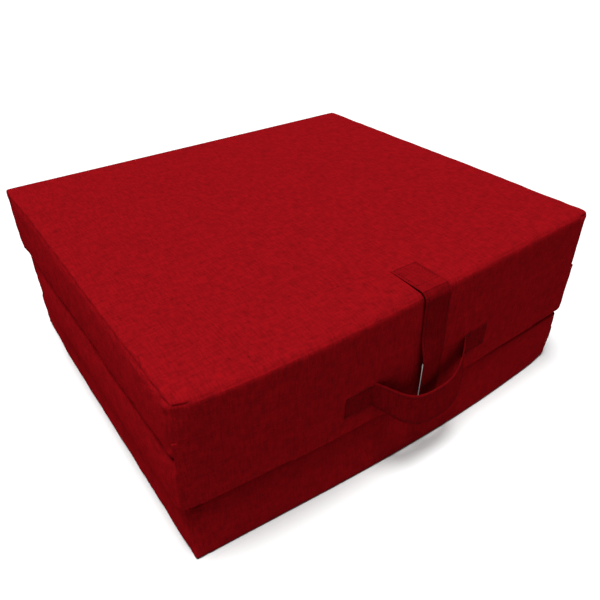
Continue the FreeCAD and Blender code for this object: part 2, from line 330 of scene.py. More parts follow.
def pale_floor(name, colour):
    """Matt studio floor with the faintest unevenness."""
    finish = Finish(name, Roughness=0.9)
    finish.shader.inputs["Specular IOR Level"].default_value = 0.0
    cloud = finish.noise(3.0, 2.0)
    finish.colour(finish.mix(cloud, shaded(colour, 0.995), tuple(colour)))
    return finish.material


FINISHES = {}


def material(name):
    """The named finish, made the first time that it is asked for."""
    if name in FINISHES:
        return FINISHES[name]
    colours = bpy.context.scene.mattress_colours
    makers = {
        "cover_cloth": lambda: heathered_cloth("cover_cloth", 1.0),
        # This darker copy is the cover cloth at 0.62 of its brightness. It paints shade on the handle, the
        # strap's hanging tail and the loop backing.
        "band_cloth": lambda: heathered_cloth("band_cloth", 0.62),
        # The strap's anchored part is the lighter of the strap's two copies of the cloth; the darker copy
        # paints shade on its tail.
        "patch_cloth": lambda: heathered_cloth("patch_cloth", 0.84),
        "thread": lambda: sewing_thread("thread", colours.thread),
        "foam": lambda: open_foam("foam", colours.foam),
        "hook_tape": lambda: pile_tape("hook_tape", colours.hook, 900.0, 0.0012),
        "loop_tape": lambda: pile_tape("loop_tape", colours.loop, 500.0, 0.0016),
        "zip_tape": lambda: woven_tape("zip_tape", colours.tape),
        "zip_coil": lambda: nylon("zip_coil", colours.coil),
        "zip_metal": lambda: cast_metal("zip_metal", colours.metal),
        "floor": lambda: pale_floor("floor", colours.floor),
    }
    FINISHES[name] = makers[name]()
    return FINISHES[name]


# ---------------------------------------------------------------- surfaces


def unit(vectors):
    """Each vector over its length."""
    return vectors / np.maximum(np.linalg.norm(vectors, axis=-1, keepdims=True), 1e-12)


def smooth(share):
    """0 to 1 with level ends: 3 s squared less 2 s cubed."""
    share = np.clip(share, 0.0, 1.0)
    return share * share * (3 - 2 * share)


def hill(distance, width):
    """1 at no distance, falling away as a bell of that width."""
    return np.exp(-0.5 * (distance / width) ** 2)


def between(place, low, high):
    """1 from low to high, and 0 from 4 mm outside them, with a smooth change over 6 mm."""
    return smooth((place - low + 0.004) / 0.006) * smooth((high + 0.004 - place) / 0.006)


def grid_faces(rows, columns, wrap=False):
    """Quads of a grid that has that many points each way; wrap joins the last column to the first."""
    r, c = np.meshgrid(np.arange(rows - 1), np.arange(columns if wrap else columns - 1), indexing="ij")
    d = (c + 1) % columns
    quads = np.stack([r * columns + c, r * columns + d, (r + 1) * columns + d, (r + 1) * columns + c], axis=-1)
    return quads.reshape(-1, 4)


def outward(points, faces):
    """The faces of a closed surface, turned so that its signed volume is positive."""
    a, b, c, d = (points[faces[:, k]] for k in range(4))
    volume = (a * np.cross(b, c)).sum() + (a * np.cross(c, d)).sum()
    return faces if volume > 0 else faces[:, ::-1]


def graded(low, high, count, crowd):
    """Places from low to high that crowd towards both ends: s less crowd times sin(2 pi s) over 2 pi."""
    share = np.linspace(0.0, 1.0, count)
    return low + (high - low) * (share - crowd * np.sin(2 * np.pi * share) / (2 * np.pi))


def box_grid(lines):
    """A closed grid over a box, from its lines along X, Y and Z: points and outward quads."""
    counts = [len(line) for line in lines]
    quads = []
    for axis in range(3):
        u, v = (axis + 1) % 3, (axis + 2) % 3
        grid_u, grid_v = np.meshgrid(np.arange(counts[u]), np.arange(counts[v]), indexing="ij")
        for end in (0, counts[axis] - 1):
            index = np.zeros(grid_u.shape + (3,), int)
            index[..., axis], index[..., u], index[..., v] = end, grid_u, grid_v
            quad = np.stack([index[:-1, :-1], index[1:, :-1], index[1:, 1:], index[:-1, 1:]], axis=2)
            quad = quad.reshape(-1, 4, 3)
            quads.append(quad if end else quad[:, ::-1])
    keys = np.concatenate(quads) @ np.array([counts[1] * counts[2], counts[2], 1])
    used, faces = np.unique(keys, return_inverse=True)
    points = np.stack([lines[0][used // (counts[1] * counts[2])], lines[1][used // counts[2] % counts[1]],
                       lines[2][used % counts[2]]], axis=1)
    return points, faces.reshape(-1, 4)


def rounded(points, low, high, radius):
    """A box's points drawn in to its rounded shape: the nearest point of the inner box, plus the radius
    along the way from there."""
    inner = np.clip(points, low + radius, high - radius)
    away = (points - inner) / radius
    return inner + radius * unit(away) * (np.linalg.norm(away, axis=1, keepdims=True) > 1e-9)


def ribbon(path, side, width, thickness, columns=15, rim=0.35):
    """A band: a thin rounded section carried along a path.

    At each point of the path the section runs along side for the width. Its two faces stand half the
    thickness to either side, less towards the rims as the eighth power of the place across."""
    side = unit(np.broadcast_to(side, path.shape).astype(float))
    normal = unit(np.cross(unit(np.gradient(path, axis=0)), side))
    across = np.linspace(-0.5, 0.5, columns)
    half = 0.5 * (1 - (1 - rim) * np.abs(2 * across) ** 8)
    ring_side = np.concatenate([across, across[::-1]])
    ring_up = np.concatenate([half, -half[::-1]])
    width, thickness = (np.broadcast_to(size, len(path))[:, None, None] for size in (width, thickness))
    points = (path[:, None] + side[:, None] * ring_side[None, :, None] * width
              + normal[:, None] * ring_up[None, :, None] * thickness)
    rows, ring = points.shape[:2]
    points = points.reshape(-1, 3)
    j = np.arange(columns - 1)
    cap = np.stack([j, j + 1, ring - 2 - j, ring - 1 - j], axis=1)
    faces = np.concatenate([grid_faces(rows, ring, wrap=True), cap, cap[:, ::-1] + (rows - 1) * ring])
    return points, outward(points, faces)


SPINDLE_RINGS, SPINDLE_SIDES = 5, 6


def spindles(points, kinds=1):
    """Many closed spindles from their rings of points, an array of spindles by rings by sides. Every kinds-th
    one has the same shape, turned and moved."""
    size = SPINDLE_RINGS * SPINDLE_SIDES
    last = size - SPINDLE_SIDES
    caps = np.array([[0, 1, 2, 3], [0, 3, 4, 5], [last + 3, last + 2, last + 1, last],
                     [last + 5, last + 4, last + 3, last]])
    quads = np.concatenate([grid_faces(SPINDLE_RINGS, SPINDLE_SIDES, wrap=True), caps])
    each = points.reshape(-1, size, 3)
    faces = [(outward(each[first], quads)[None] + size * np.arange(first, len(each), kinds)[:, None, None])
             for first in range(kinds)]
    return each.reshape(-1, 3), np.concatenate(faces).reshape(-1, 4)


def spindle_angles():
    """The turn of each point of a spindle's ring."""
    return np.arange(SPINDLE_SIDES) * 2 * np.pi / SPINDLE_SIDES


def stitches(path, normal, sizes):
    """Threads in a row along a line: six-sided spindles whose ends dip under the cloth."""
    step = np.linalg.norm(np.diff(path, axis=0), axis=1)
    along = np.concatenate([[0.0], np.cumsum(step)])
    count = max(1, int(along[-1] / (sizes.stitch_length + sizes.stitch_gap)))
    middle = (np.arange(count) + 0.5) * along[-1] / count
    share = np.array([-1.0, -0.75, 0.0, 0.75, 1.0])
    at = middle[:, None] + share[None] * sizes.stitch_length / 2
    place = np.stack([np.interp(at, along, path[:, k]) for k in range(3)], axis=-1)
    normal = np.broadcast_to(normal, path.shape).astype(float)
    up = unit(np.stack([np.interp(at, along, normal[:, k]) for k in range(3)], axis=-1))
    tangent = unit(place[:, -1:] - place[:, :1])
    side = unit(np.cross(tangent, up))
    radius = sizes.thread_radius * np.array([0.35, 0.9, 1.0, 0.9, 0.35])
    lift = sizes.thread_radius * np.array([-1.0, 0.3, 0.7, 0.3, -1.0])
    angle = spindle_angles()
    points = (place[:, :, None] + up[:, :, None] * (lift[None, :, None, None]
              + (radius[:, None] * np.sin(angle))[None, :, :, None])
              + side[:, :, None] * (radius[:, None] * np.cos(angle))[None, :, :, None])
    return spindles(points)


def piece(name, *surfaces):
    """One mesh object at the origin from several surfaces, each given as points, quads and a finish."""
    mesh = bpy.data.meshes.new(name)
    points = np.concatenate([s[0] for s in surfaces])
    starts = np.cumsum([0] + [len(s[0]) for s in surfaces[:-1]])
    faces = np.concatenate([s[1] + start for s, start in zip(surfaces, starts)])
    mesh.from_pydata(points.tolist(), [], faces.tolist())
    finishes = list(dict.fromkeys(s[2] for s in surfaces))
    for finish in finishes:
        mesh.materials.append(material(finish))
    index = np.concatenate([np.full(len(s[1]), finishes.index(s[2])) for s in surfaces])
    mesh.polygons.foreach_set("material_index", index.astype(np.int32))
    mesh.polygons.foreach_set("use_smooth", np.ones(len(faces), bool))
    mesh.update()
    obj = bpy.data.objects.new(name, mesh)
    bpy.context.scene.collection.objects.link(obj)
    return obj


def set_points(obj, points):
    """Moves the mesh's points."""
    obj.data.vertices.foreach_set("co", points.astype(np.float32).ravel())
    obj.data.update()


def subdivided(obj):
    """One level of subdivision, the same in the view and the render."""
    modifier = obj.modifiers.new("subdivision", "SUBSURF")
    modifier.levels = modifier.render_levels = 1
    return obj


# ---------------------------------------------------------------- the stack's own shape


# How far each slab's left side stands out at its bottom and its top, and how much fuller it is half-way up;
# then the same at its back corner, where it's drawn in.
LEFT_STAND = {
    "lower": (0.0030, -0.0030, 0.0, -0.0015),
    "middle": (0.0080, 0.0050, 0.0038, -0.0030),
    "upper": (0.0066, 0.0008, 0.0012, 0.0040),
}
# How far the right front corner of each slab stands out.
RIGHT_CORNER = {"lower": -0.0008, "middle": 0.0052, "upper": 0.0026}
# How far the top's right edge turns: out at the front corner and in at the back one.
TOP_TURN = 0.0036


# The front's bow goes as sin(pi u^q): q at the floor, and how much it falls by the top.
BOW_POWER, BOW_POWER_FALL = 1.2, 0.69
# How much of the lower slab's lean the right corner loses, and the u from which it does.
LEAN_LOSS, LEAN_FULL_TO = 0.75, 0.3
# How far the front's foot stands out: everywhere, more at the left corner, and more between the corners.
FOOT_ALL, FOOT_LEFT, FOOT_MIDDLE = 0.0012, 0.0038, 0.0026
# How far the back stands out at the top.
BACK_TOP = 0.0082
# Waves of the boundaries over one and two slabs along the sides: height, length and phase; then how far each
# sinks at the back left corner.
SIDE_WAVES = {1: (0.0012, 0.23, 0.6, 0.012), 2: (0.0019, 0.27, 1.9, 0.014)}


def front_of(x, z):
    """Y of the front: the corners' line, less a bow of sin(pi u^q). u runs from 0 at the left corner to 1 at
    the right; q falls with height, so the fullest place moves from right of the middle to the left. The lower
    slab leans back by a straight line, and its foot flares out as the eighth power of the way down."""
    sizes = bpy.context.scene.mattress_sizes
    u = np.clip((x + HALF_WIDTH) / (2 * HALF_WIDTH), 0.0, 1.0)
    rise = np.clip(z / STACK_HEIGHT, 0.0, 1.0)
    bow = sizes.front_bow + (sizes.top_bow - sizes.front_bow) * rise ** 3
    bow = bow * np.sin(np.pi * u ** (BOW_POWER - BOW_POWER_FALL * rise))
    lean = sizes.front_lean * np.clip(z / FOLD_BACK[2], 0.0, 1.0) * (z < FOLD_BACK[2] + 0.006)
    lean = lean * (1 - LEAN_LOSS * smooth((u - LEAN_FULL_TO) / (1 - LEAN_FULL_TO)))
    foot = (FOOT_LEFT * (1 - u) ** 2 + FOOT_ALL + FOOT_MIDDLE * np.sin(np.pi * u)) * (1 - rise) ** 8
    return -HALF_LENGTH + sizes.front_setback + lean - foot - bow


def back_of(x, z):
    """Y of the back: out by the rise cubed towards the top, and bowed out at the lower fold as 1 - u^8, to
    carry the fold cloth. u runs from -1 to 1."""
    sizes = bpy.context.scene.mattress_sizes
    u = np.clip(x / HALF_WIDTH, -1.0, 1.0)
    rise = np.clip(z / STACK_HEIGHT, 0.0, 1.0)
    bow = sizes.back_bow * (1 - u ** 8) * hill(z - FOLD_BACK[2], 0.05)
    return HALF_LENGTH + bow + BACK_TOP * rise ** 3


def gap_shift(level, x, y):
    """How far the boundary over that many slabs leaves its level: slow waves along the sides and a fall at the
    back left corner, a rise along the front at the lower one, and a crown and a twist on the top."""
    sizes = bpy.context.scene.mattress_sizes
    if level == 0:
        return np.zeros_like(x)
    if level == len(PANELS):
        u, v = x / HALF_WIDTH, y / HALF_LENGTH
        return sizes.fullness + sizes.crown * (1 - u ** 2) * (1 - v ** 2) - sizes.top_twist * u * v
    left, right = HALF_WIDTH + x, HALF_WIDTH - x
    near_side = np.exp(-left / 0.05) + np.exp(-right / 0.05)
    back_left = np.exp(-left / 0.07) * smooth((y - 0.15) / 0.16)
    height, length, phase, sink = SIDE_WAVES[level]
    shift = height * np.sin(2 * np.pi * y / length + phase) * near_side - sink * back_left
    if level == 1:
        front = np.exp(-(HALF_LENGTH + y) / 0.06)
        shift = shift + (sizes.front_wave * hill(x - 0.04, 0.17) - 0.0012 * np.exp(-left / 0.06)) * front
    return shift


def side_stand(panel, x, y, share):
    """How far a slab's sides stand out: on the left a line from bottom to top plus a sine, drawn in at the back
    corner; on the right only at the front corner, because the zip holds the rest."""
    bottom, top, full, back = LEFT_STAND[panel]
    out = bottom + (top - bottom) * share + full * np.sin(np.pi * share)
    corner = smooth((y - 0.17) / 0.13)
    left = out * (1 - corner) + back * corner
    right = RIGHT_CORNER[panel] * smooth((-y - 0.285) / 0.02)
    if panel == "upper":
        right = right * (1 - share) - TOP_TURN * y / HALF_LENGTH * share ** 6
    return -left * smooth(-x / HALF_WIDTH) + right * smooth(x / HALF_WIDTH)


def slab_limits(panel):
    """Lowest and highest corner of a slab."""
    low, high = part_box(panel + "_bottom_sheet")[0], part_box(panel + "_top_sheet")[1]
    return np.array(low), np.array(high)


# How far a slab grows towards each slab it meets, so that the gap between them closes.
SLAB_GROWTH = 0.0007


def settle(points, panel, start):
    """A slab's box points carried to the stack's shape: heights follow the gaps over and under it, and the
    depth is stretched so that the front and back meet front_of and back_of."""
    level = PANELS.index(panel)
    low, high = slab_limits(panel)
    full = bpy.context.scene.mattress_sizes.fullness
    x, y, z = points.T
    x = x * (1 + full / HALF_WIDTH)
    y = np.where(y > 0, y * (1 + full / HALF_LENGTH), y)
    share = np.clip((start[:, 2] - low[2]) / (high[2] - low[2]), 0.0, 1.0)
    x = x + side_stand(panel, x, y, share)
    meets = np.where(share > 0.5, panel != "upper", panel != "lower")
    z = z + SLAB_GROWTH * (2 * share - 1) * meets
    z = z + gap_shift(level, x, y) * (1 - share) + gap_shift(level + 1, x, y) * share
    front = front_of(x, z) + HALF_LENGTH
    back = back_of(x, z) - HALF_LENGTH
    y = y + front * smooth(-y / HALF_LENGTH) + back * smooth(y / HALF_LENGTH)
    return np.stack([x, y, z], axis=1)


def seam_offset(start, low, high):
    """Distance of a box point from the edge of its side face, positive on the side and negative off it."""
    off_side = np.minimum(start[:, 0] - low[0], high[0] - start[:, 0])
    on_side = np.minimum(np.minimum(start[:, 1] - low[1], high[1] - start[:, 1]),
                         np.minimum(start[:, 2] - low[2], high[2] - start[:, 2]))
    return np.where(off_side < 1e-6, on_side, -off_side)


def swell(obj, sewn, cap):
    """Lets the cloth swell under inner pressure with its seams held, and gives each point's move, no
    longer than cap."""
    start = np.empty(len(obj.data.vertices) * 3, np.float32)
    obj.data.vertices.foreach_get("co", start)
    group = obj.vertex_groups.new(name="sewn")
    group.add(np.flatnonzero(sewn).tolist(), 1.0, "REPLACE")
    modifier = obj.modifiers.new("swell", "CLOTH")
    cloth = modifier.settings
    cloth.quality = 4
    cloth.mass = 0.3
    cloth.tension_stiffness = cloth.compression_stiffness = 18
    cloth.shear_stiffness = 8
    cloth.bending_stiffness = 1.5
    cloth.use_pressure = True
    cloth.uniform_pressure_force = 4
    cloth.effector_weights.gravity = 0
    cloth.vertex_group_mass = group.name
    modifier.collision_settings.use_collision = False
    modifier.point_cache.frame_start, modifier.point_cache.frame_end = 1, 20
    for frame_number in range(1, 21):
        bpy.context.scene.frame_set(frame_number)
    shown = obj.evaluated_get(bpy.context.evaluated_depsgraph_get())
    end = np.empty_like(start)
    shown.data.vertices.foreach_get("co", end)
    obj.modifiers.remove(modifier)
    obj.vertex_groups.remove(group)
    bpy.context.scene.frame_set(1)
    move = (end - start).reshape(-1, 3)
    length = np.linalg.norm(move, axis=1, keepdims=True)
    return move * np.minimum(1.0, cap / np.maximum(length, 1e-9))


# ---------------------------------------------------------------- operators


class MattressPiece:
    """What every operator of the mattress shares."""

    bl_options = {"REGISTER", "UNDO"}

    @property
    def sizes(self):
        return bpy.context.scene.mattress_sizes


class MATTRESS_OT_stage(MattressPiece, bpy.types.Operator):
    """Pale floor, soft studio light and the camera"""

    bl_idname = "mattress.stage"
    bl_label = "Stage"

    camera_place = (-0.4910, -0.7299, 0.6965)
    camera_sight = (0.4405, 0.6659, -0.6020)
    camera_roll = -1.39
    camera_lens = 36.115
    camera_shift = (0.0268, 0.0410)
    floor_half = 6.0
    floor_gap = 0.0002
    sky_strength = 0.03
    sun_turn = (0.5, -6.5, 0)
    sun_strength = 6.6
    sun_width = 24

    def execute(self, context):
        corners = ((-1, -1), (1, -1), (1, 1), (-1, 1))
        points = np.array([(x * self.floor_half, y * self.floor_half, -self.floor_gap) for x, y in corners])
        floor = piece("studio_floor", (points, np.array([[0, 1, 2, 3]]), "floor"))

        world = bpy.data.worlds.new("studio")
        world.use_nodes = True
        world.node_tree.nodes["Background"].inputs[0].default_value = (1, 1, 1, 1)
        world.node_tree.nodes["Background"].inputs[1].default_value = self.sky_strength
        context.scene.world = world
        context.scene.view_settings.view_transform = "Standard"

        lamp = bpy.data.lights.new("key", "SUN")
        lamp.energy = self.sun_strength
        lamp.angle = math.radians(self.sun_width)
        sun = bpy.data.objects.new("key", lamp)
        sun.rotation_euler = [math.radians(a) for a in self.sun_turn]
        context.scene.collection.objects.link(sun)

        camera = bpy.data.objects.new("camera", bpy.data.cameras.new("camera"))
        camera.data.lens = self.camera_lens
        camera.data.shift_x, camera.data.shift_y = self.camera_shift
        turn = Vector(self.camera_sight).to_track_quat("-Z", "Y").to_matrix()
        turn = turn @ Matrix.Rotation(math.radians(self.camera_roll), 3, "Z")
        camera.matrix_world = Matrix.Translation(self.camera_place) @ turn.to_4x4()
        context.scene.collection.objects.link(camera)
        context.scene.camera = camera
        return {"FINISHED"}


class MATTRESS_OT_foam_cores(MattressPiece, bpy.types.Operator):
    """Foam block inside each cover, with rounded edges"""

    bl_idname = "mattress.foam_cores"
    bl_label = "Foam cores"

    inset = (0.006, 0.006, 0.004)
    radius = (0.012, 0.012, 0.008)
    counts = (46, 42, 12)
    crowd = 0.6

    def execute(self, context):
        for panel in PANELS:
            low, high = slab_limits(panel)
            low, high = low + self.inset, high - self.inset
            lines = [graded(*ends, self.crowd) for ends in zip(low, high, self.counts)]
            start, faces = box_grid(lines)
            points = rounded(start, low, high, np.array(self.radius))
            points = settle(points, panel, start)
            foam = piece(panel + "_foam", (points, faces, "foam"))
            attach(foam, panel + "_panel")
            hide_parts(panel + "_foam_core")
        return {"FINISHED"}


class MATTRESS_OT_covers(MattressPiece, bpy.types.Operator):
    """Sewn cover of each slab, swollen by its core, with drawn-in side seams"""

    bl_idname = "mattress.covers"
    bl_label = "Covers"

    counts = (92, 84, 23)
    crowds = (0.72, 0.72, 0.5)
    seam_at = 0.004
    edge_depth = 0.03
    groove_loss = 0.68
    # Dents by slab: centre, radius and move of the cloth there.
    dents = (
        (("lower",), (HALF_WIDTH, -HALF_LENGTH, 0.0), 0.022, (-0.0020, 0.0030, 0.0015)),
        (("upper",), (-HALF_WIDTH, 0.301, 0.259), 0.0075, (0.0075, -0.0030, 0.0)),
        (("middle", "upper"), (-0.356, -0.302, 0.1835), 0.005, (0.0012, 0.0015, 0.0)),
    )

    def execute(self, context):
        for panel in PANELS:
            self.cover(panel)
        return {"FINISHED"}

    def cover(self, panel):
        sizes = self.sizes
        low, high = slab_limits(panel)
        lines = [graded(*ends) for ends in zip(low, high, self.counts, self.crowds)]
        start, faces = box_grid(lines)
        points = rounded(start, low, high, self.radii(panel, start, low, high))
        cover = piece(panel + "_cover", (points, faces, "cover_cloth"))
        seam = seam_offset(start, low, high)
        move = swell(cover, np.abs(seam - self.seam_at) < 0.002, sizes.swell_cap)
        points = points + move * self.give(panel, start, low, high)[:, None]
        points = self.drawn_in(points, start, seam, low, high)
        points = settle(points, panel, start)
        points = self.pressed(panel, points, start, low, high)
        set_points(cover, points)
        subdivided(cover)
        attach(cover, panel + "_panel")
        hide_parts(*(panel + "_" + part for part in (
            "bottom_sheet", "top_sheet", "front_band", "back_band", "left_band",
            "right_band_above_zip", "right_band_below_zip")))

    def radii(self, panel, start, low, high):
        """Rounding at each box point along X, Y and Z: small where slabs meet, large along the lower slab's
        top, and larger towards the front on the upper slab."""
        sizes = self.sizes
        x, y, z = start.T
        edge = np.full(len(start), sizes.inner_radius)
        corner = np.full(len(start), sizes.corner_radius)
        if panel == "lower":
            groove = sizes.groove_radius * (1 - self.groove_loss * smooth((x + HALF_WIDTH) / (2 * HALF_WIDTH)))
            edge = np.where(z < high[2] - self.edge_depth, sizes.edge_radius, groove)
        if panel == "upper":
            near_front = sizes.soft_edge * smooth((-0.1 - y) / 0.15)
            edge = np.where(z > low[2] + self.edge_depth, sizes.edge_radius + near_front, edge)
            corner = corner + 0.5 * near_front
        return np.stack([corner, corner, edge], axis=1)

    def give(self, panel, start, low, high):
        """Share of the swelling that each face keeps: none where slabs meet, the floor or the fold cloths hold
        it, some on the open top and all on the free sides."""
        x, y, z = start.T
        side_depth = np.minimum(x - low[0], high[0] - x)
        share = np.where(side_depth > 0.02, 0.0, 0.5)
        top = (z > high[2] - 1e-6) & (panel == "upper")
        share = np.where(top, 0.12 * smooth(side_depth / 0.03), share)
        share = np.where(x > high[0] - 1e-6, 0.3, share)
        return share

    def drawn_in(self, points, start, seam, low, high):
        """The side seams as a bell-shaped groove towards the slab's middle, with short puckers beside them."""
        sizes = self.sizes
        centre = (low + high) / 2
        inward = unit(np.stack([np.sign(centre[0] - points[:, 0]), np.zeros(len(points)),
                                0.8 * (centre[2] - points[:, 2]) / (high[2] - low[2])], axis=1))
        along = start[:, 1] + 1.7 * start[:, 2]
        phase = 2 * np.pi * along / 0.047 + 2.4 * np.sin(2 * np.pi * along / 0.163)
        fine = 2 * np.pi * along / 0.0155 + 1.6 * np.sin(2 * np.pi * along / 0.093)
        fold = sizes.pucker * (hill(seam - self.seam_at, 0.011) * (0.5 + 0.5 * np.sin(phase))
                               + 0.4 * hill(seam - self.seam_at, 0.005) * (0.5 + 0.5 * np.sin(fine)))
        groove = sizes.seam_depth * hill(seam - self.seam_at, 0.0022)
        return points + inward * (groove + fold)[:, None]

    def pressed(self, panel, points, start, low, high):
        """Where other pieces press the cover: the floor, the zip's channel on the right, the handle's ends, the
        strap's patch and the strap over the edge."""
        x, y, z = points.T
        middle = (low[2] + high[2]) / 2
        channel = smooth((0.0155 - np.abs(z - middle)) / 0.004) * smooth((0.303 - np.abs(y)) / 0.008)
        on_right = start[:, 0] > high[0] - 1e-6
        x = np.where(on_right, x - channel * np.maximum(x - (HALF_WIDTH - 0.0026), 0), x)
        if panel == "middle":
            for end in (HANDLE_LEFT, HANDLE_RIGHT):
                pressed = between(x, end[0].x, end[1].x) * between(z, end[0].z, end[1].z)
                y = y + 0.0010 * pressed * (start[:, 1] < -HALF_LENGTH + 1e-6)
        points = np.stack([x, y, z], axis=1)
        for slabs, centre, radius, move in self.dents:
            if panel in slabs:
                points = points + hill(np.linalg.norm(points - centre, axis=1), radius)[:, None] * move
        x, y, z = points.T
        if panel == "lower":
            z = np.maximum(z, 0.0)
        if panel == "upper":
            dent = hill(np.hypot(x + 0.342, 0.45 * (z - 0.257)), 0.0050) * (y < -0.28)
            x, y = x + 0.0010 * dent, y + 0.0030 * dent
            patch_low, patch_high = STRAP_PATCH
            seat = between(x, patch_low.x, patch_high.x) * smooth((patch_high.y + 0.005 - y) / 0.006)
            z = z - seat * np.maximum(z - STACK_HEIGHT + 0.0002, 0)
            strap = hill(x - (STRAP_TAIL[0].x + STRAP_TAIL[1].x) / 2, 0.026)
            edge = hill(np.hypot(y + HALF_LENGTH, z - STACK_HEIGHT), 0.022)
            y = y + 0.0035 * strap * edge
            z = z - 0.0035 * strap * edge
        return np.stack([x, y, z], axis=1)


class MATTRESS_OT_fold_cloths(MattressPiece, bpy.types.Operator):
    """Cloth that runs over a fold from one slab to the next, at the front and at the back"""

    bl_idname = "mattress.fold_cloths"
    bl_label = "Fold cloths"

    reach = 0.031
    corner = 0.006
    thickness = 0.0008
    bend = 0.006

    def execute(self, context):
        self.fold_cloth("front_fold_cloth", front_of, -1, FOLD_FRONT, ("middle_panel", "upper_panel"),
                        ("middle_front_hinge_cloth", "upper_front_hinge_cloth"))
        self.fold_cloth("back_fold_cloth", back_of, 1, FOLD_BACK, ("lower_panel", "middle_panel"),
                        ("lower_back_hinge_cloth", "middle_back_hinge_cloth"))
        return {"FINISHED"}

    def fold_cloth(self, name, face_of, out, fold, bodies, nodes):
        """A grid over x and z on the slabs' face: proud of it by a hair at the fold, and under it at its rims.
        At the front it follows the left corner's rounding."""
        reach = self.reach
        low, high = -HALF_WIDTH - (0.0035 if out < 0 else -0.0045), HALF_WIDTH - 0.0045
        heights = fold[2] + graded(-reach, reach, 31, -0.5)
        x, z = np.meshgrid(np.linspace(low, high, 150), heights, indexing="ij")
        rim = np.minimum(np.minimum(x - low, high - x) / 0.010, (reach - np.abs(z - fold[2])) / 0.012)
        proud = 0.0005 * smooth(rim) - 0.0006 * (1 - smooth(rim))
        past = np.clip(-x - HALF_WIDTH - 0.0004, 0, 0.0055)
        fall = self.corner - np.sqrt(self.corner ** 2 - past ** 2)
        outer = np.stack([x, face_of(x, z) + out * (proud - fall), z], axis=-1)
        inner = outer - [0, out * self.thickness, 0]
        rows, columns = x.shape
        skin = grid_faces(rows, columns)
        points = np.concatenate([outer.reshape(-1, 3), inner.reshape(-1, 3)])
        rim_line = np.concatenate([np.arange(columns), np.arange(1, rows) * columns + columns - 1,
                                   (rows - 1) * columns + np.arange(columns - 2, -1, -1),
                                   np.arange(rows - 2, 0, -1) * columns])
        after = np.roll(rim_line, -1)
        under = rows * columns
        wall = np.stack([rim_line, after, after + under, rim_line + under], axis=1)
        faces = np.concatenate([skin, skin[:, ::-1] + under, wall[:, ::-1]])
        cloth = piece(name, (points, outward(points, faces), "cover_cloth"))
        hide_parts(*nodes)
        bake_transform(cloth)


class MATTRESS_OT_handle(MattressPiece, bpy.types.Operator):
    """Carrying handle: two sewn ends on the middle slab and the loop that hangs between them"""

    bl_idname = "mattress.handle"
    bl_label = "Carrying handle"

    root = 0.016
    reach_power, reach_shift = 4, 1.05
    droop_power, droop_shift = 2.6, 1.3
    end_share, middle_share = 1.14, 0.26
    lean = 0.16
    seat = 0.0014

    def band(self, low, high, count):
        """Path and side of the band between two places across.

        With s from 0 at the left sewn end to 1 at the right, reach and droop follow 1 less |2 s^m - 1|^n, with
        n their power and m their shift. The band stays upright but for a small tilt, and it's widest in the
        middle. Gives the path, the side and the width along it."""
        sizes = self.sizes
        left, right = HANDLE_LEFT[1].x, HANDLE_RIGHT[0].x
        x = np.linspace(low, high, count)
        s = np.clip((x - left) / (right - left), 0.0, 1.0)
        reach = 1 - np.abs(2 * s ** self.reach_shift - 1) ** self.reach_power
        droop = 1 - np.abs(2 * s ** self.droop_shift - 1) ** self.droop_power
        band = HANDLE_LEFT[1].z - HANDLE_LEFT[0].z
        width = band * (self.end_share + self.middle_share * reach)
        middle = HANDLE_LEFT[1].z - band * self.end_share / 2
        face = front_of(x, np.full(count, middle)) + self.seat
        path = np.stack([x, face - sizes.band_thickness / 2 - sizes.loop_reach * reach,
                         middle - sizes.loop_droop * droop], axis=1)
        tilt = self.lean * np.sqrt(reach)
        side = np.stack([np.zeros(count), np.sin(tilt), np.cos(tilt)], axis=1)
        return path, side, width

    def sewn_band(self, path, side, width, rows):
        """The band with a row of stitches near each rim on its outer face, and box stitches across it."""
        sizes = self.sizes
        # The band's finish is the darker copy of the cover cloth, which paints shade.
        surfaces = [(*ribbon(path, side, width, sizes.band_thickness), "band_cloth")]
        normal = unit(np.cross(unit(np.gradient(path, axis=0)), side))
        normal = normal * np.sign(-normal[:, 1:2])
        inset = side * (width / 2 - 0.0045)[:, None]
        for edge in (-1, 1):
            line = path + inset * edge + normal * sizes.band_thickness / 2
            surfaces.append((*stitches(line, normal, sizes), "thread"))
        for first, second in rows:
            ends = np.array([path[k] + inset[k] * o + normal[k] * sizes.band_thickness / 2
                             for k, o in (first, second)])
            line = ends[0] + (ends[1] - ends[0]) * np.linspace(0, 1, 12)[:, None]
            surfaces.append((*stitches(line, normal[first[0]], sizes), "thread"))
        return surfaces

    def execute(self, context):
        left, right = HANDLE_LEFT[1].x, HANDLE_RIGHT[0].x
        ends = (
            ("handle_left_end", HANDLE_LEFT[0].x, left + self.root, "handle_left_sewn_end", 1),
            ("handle_right_end", right - self.root, HANDLE_RIGHT[1].x, "handle_right_sewn_end", -1),
        )
        for name, low, high, node, inner in ends:
            path, side, width = self.band(low, high, 62)
            far, near = (3, 42) if inner > 0 else (58, 19)
            rows = (((far, -1), (far, 1)), ((near, -1), (near, 1)),
                    ((far, -1), (near, 1)), ((far, 1), (near, -1)))
            end = piece(name, *self.sewn_band(path, side, width, rows))
            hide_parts(node)
            root = left if inner > 0 else right
            root + inner * self.root
            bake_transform(end)
            high - low
        path, side, width = self.band(left + self.root, right - self.root, 90)
        loop = piece("handle_band", *self.sewn_band(path, side, width, ()))
        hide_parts("handle_loop")
        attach(loop, "carry_handle")
        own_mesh(loop)
        return {"FINISHED"}


